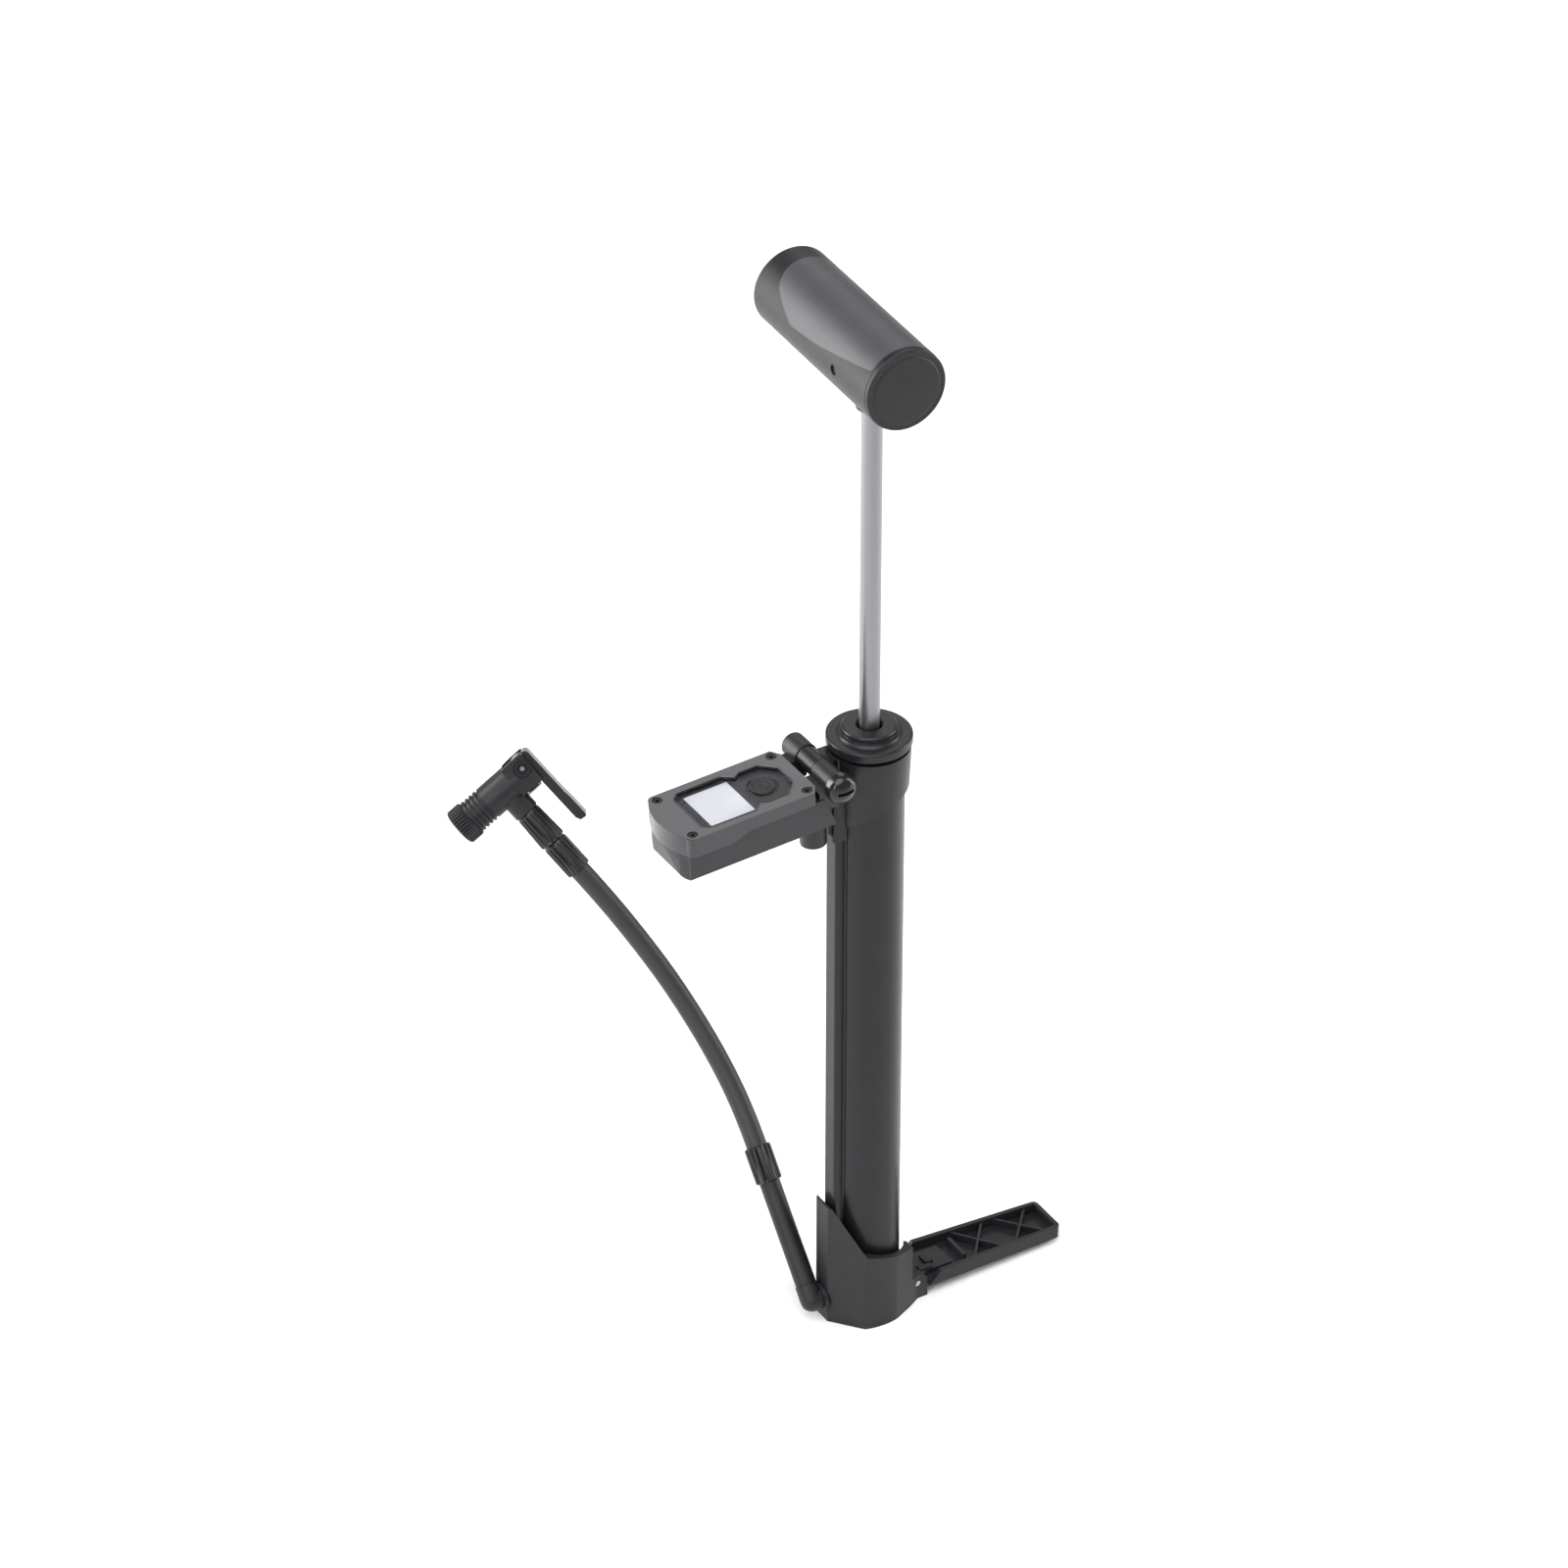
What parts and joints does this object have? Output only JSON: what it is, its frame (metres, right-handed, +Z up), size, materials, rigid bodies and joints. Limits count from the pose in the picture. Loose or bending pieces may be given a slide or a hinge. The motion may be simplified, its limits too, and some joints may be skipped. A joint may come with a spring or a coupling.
{
  "type": "bicycle floor pump",
  "caption": "Slim portable bicycle floor pump with T handle, hinged digital gauge, fold-out foot pedal and swivelling hose with a lever-lock valve head.",
  "frame": {"origin": "on the barrel's axis at the underside of the base", "axes": "+Z up along the barrel, +X towards the foot pedal, the gauge and hose on -X, the handle along Y with its long end towards +Y"},
  "size_m": [0.1858, 0.1879, 0.4489],
  "materials": {
    "barrel_black": "satin",
    "satin_black": "satin",
    "dark_plastic": "matte",
    "rod_silver": "satin",
    "grip_grey": "matte",
    "gauge_gloss": "gloss",
    "gauge_grey": "matte",
    "lens_dark": "gloss",
    "display_grey": "satin",
    "screw_black": "satin",
    "steel": "satin",
    "dark_metal": "satin",
    "lever_metal": "satin",
    "hose_rubber": "matte",
    "rubber_black": "matte",
    "brass": "satin",
    "white_plastic": "matte",
    "board_green": "satin"
  },
  "bodies": {
    "pump_body": {"barrel": "barrel_black", "valve_block": "dark_plastic", "valve_block_seal": "rubber_black", "check_valve_spring": "steel", "top_cap": "satin_black", "rod_bush": "white_plastic", "rod_wiper": "rubber_black", "gauge_bracket": "satin_black", "hinge_washers": "steel", "base_housing": "dark_plastic", "base_screws": "steel", "pedal_pin": "steel", "elbow_clip": "steel"},
    "check_ball": {"check_valve_ball": "rubber_black"},
    "piston_unit": {"piston": "dark_plastic", "piston_seal": "rubber_black", "piston_screw": "steel"},
    "rod_unit": {"pump_rod": "rod_silver", "rod_end": "dark_metal"},
    "handle": {"handle_core": "dark_plastic", "handle_grip": "grip_grey", "handle_cap": "dark_plastic", "handle_pin": "steel"},
    "gauge": {"gauge_cover": "gauge_gloss", "gauge_case": "gauge_grey", "gauge_lens": "lens_dark", "gauge_display": "display_grey", "button_switch": "satin_black", "gauge_board": "board_green", "gauge_battery": "steel", "battery_cover": "gauge_grey", "pressure_sensor": "brass", "gauge_screws": "screw_black", "hinge_bolt": "dark_metal"},
    "power_button": {"gauge_button": "rubber_black"},
    "pedal": {"foot_pedal": "dark_plastic"},
    "hose_unit": {"swivel_elbow": "dark_plastic", "elbow_seals": "rubber_black", "riser_pipe": "dark_plastic", "hose_coupler": "dark_metal", "air_hose": "hose_rubber", "hose_ferrule": "dark_metal", "head_nipple": "brass"},
    "valve_head": {"swivel_nut": "dark_metal", "head_body": "dark_plastic", "valve_gland": "rubber_black", "lever_pin": "steel", "spring_clip": "steel"},
    "head_cap": {"valve_cap": "dark_plastic"},
    "head_plunger": {"valve_plunger": "brass"},
    "lever": {"lock_lever": "lever_metal"}
  },
  "joints": [
    {"name": "rod_slide", "type": "slide", "parent": "pump_body", "child": "piston_unit", "axis": [0, 0, 1], "range_m": [-0.094, 0.106]},
    {"name": "rod_spin", "type": "hinge", "parent": "piston_unit", "child": "rod_unit", "pos_m": [0, 0, 0.14], "axis": [0, 0, 1], "continuous": true},
    {"name": "handle_fold", "type": "hinge", "parent": "rod_unit", "child": "handle", "pos_m": [0, 0, 0.4327], "axis": [-0.9988, 0.0489, 0], "range_deg": [0, 90]},
    {"name": "gauge_tilt", "type": "hinge", "parent": "pump_body", "child": "gauge", "pos_m": [-0.0226, 0, 0.264], "axis": [0, 1, 0], "range_deg": [0, 90]},
    {"name": "button_press", "type": "slide", "parent": "gauge", "child": "power_button", "axis": [0.0523, 0, -0.9986], "range_m": [0, 0.0008], "stiffness_N_per_m": 400, "springref_m": -0.0002},
    {"name": "pedal_fold", "type": "hinge", "parent": "pump_body", "child": "pedal", "pos_m": [0.0186, 0, 0.0072], "axis": [0, -1, 0], "range_deg": [-2.3, 92]},
    {"name": "elbow_swivel", "type": "hinge", "parent": "pump_body", "child": "hose_unit", "pos_m": [-0.0144, 0, 0.0096], "axis": [-1, 0, 0], "range_deg": [-30, 46]},
    {"name": "head_swivel", "type": "hinge", "parent": "hose_unit", "child": "valve_head", "pos_m": [-0.06293, 0.13377, 0.16512], "axis": [-0.4186, 0.5922, 0.6885], "continuous": true},
    {"name": "lever_lift", "type": "hinge", "parent": "valve_head", "child": "lever", "pos_m": [-0.06702, 0.15037, 0.19273], "axis": [-0.4472, -0.7943, 0.4113], "range_deg": [0, 90]},
    {"name": "plunger_slide", "type": "slide", "parent": "valve_head", "child": "head_plunger", "axis": [0.7904, -0.1357, 0.5973], "range_m": [0, 0.002]},
    {"name": "cap_turn", "type": "hinge", "parent": "valve_head", "child": "head_cap", "pos_m": [-0.09148, 0.15353, 0.17224], "axis": [-0.7904, 0.1357, -0.5973], "continuous": true},
    {"name": "check_ball_lift", "type": "slide", "parent": "pump_body", "child": "check_ball", "axis": [0, 0, -1], "range_m": [0, 0.0025], "stiffness_N_per_m": 60, "springref_m": -0.001, "deforming": ["check_valve_spring"]}
  ],
  "couplings": [
    {"joint": "plunger_slide", "follows": "lever_lift", "m_per_rad": 0.0012732}
  ]
}
